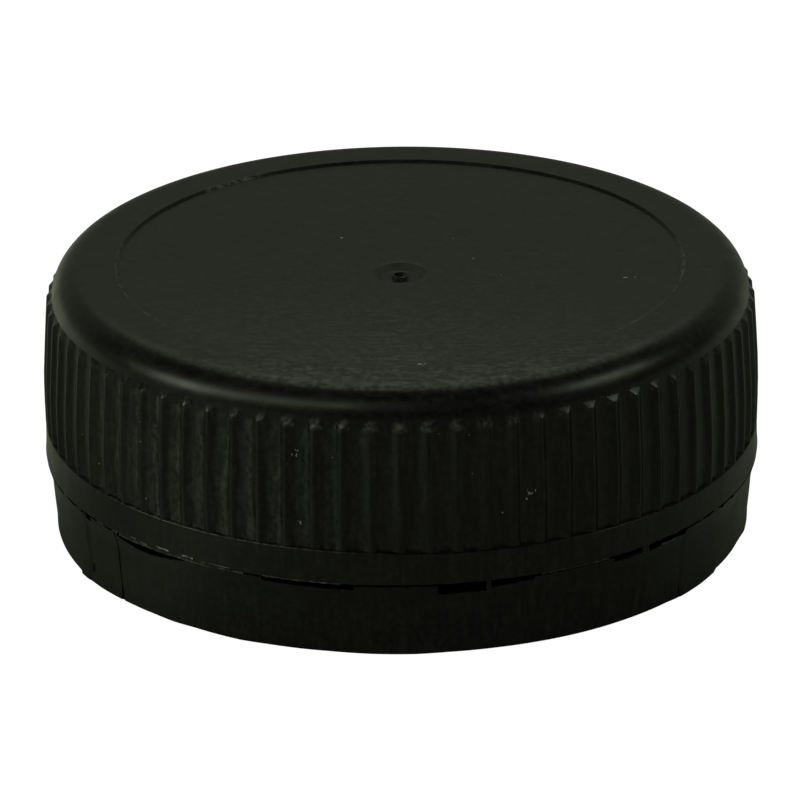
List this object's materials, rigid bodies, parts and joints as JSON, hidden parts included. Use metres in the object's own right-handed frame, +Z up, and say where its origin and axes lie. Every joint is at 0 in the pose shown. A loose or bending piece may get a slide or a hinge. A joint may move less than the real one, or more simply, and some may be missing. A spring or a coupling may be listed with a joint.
{
  "type": "screw cap",
  "caption": "Black moulded screw cap with ribbed grip, plug seal, inner thread and a tamper-evident band still joined by its bridges.",
  "frame": {"origin": "centre of the band's bottom rim, which the cap stands on", "axes": "+Z up along the cap's axis to the panel; -Y is the front seen in the picture, +X to its right"},
  "size_m": [0.051, 0.051, 0.0194],
  "materials": {
    "cap_plastic": "black moulded polyethylene, satin, very slightly green"
  },
  "bodies": {
    "root": {"screw_cap": "cap_plastic"}
  },
  "joints": []
}
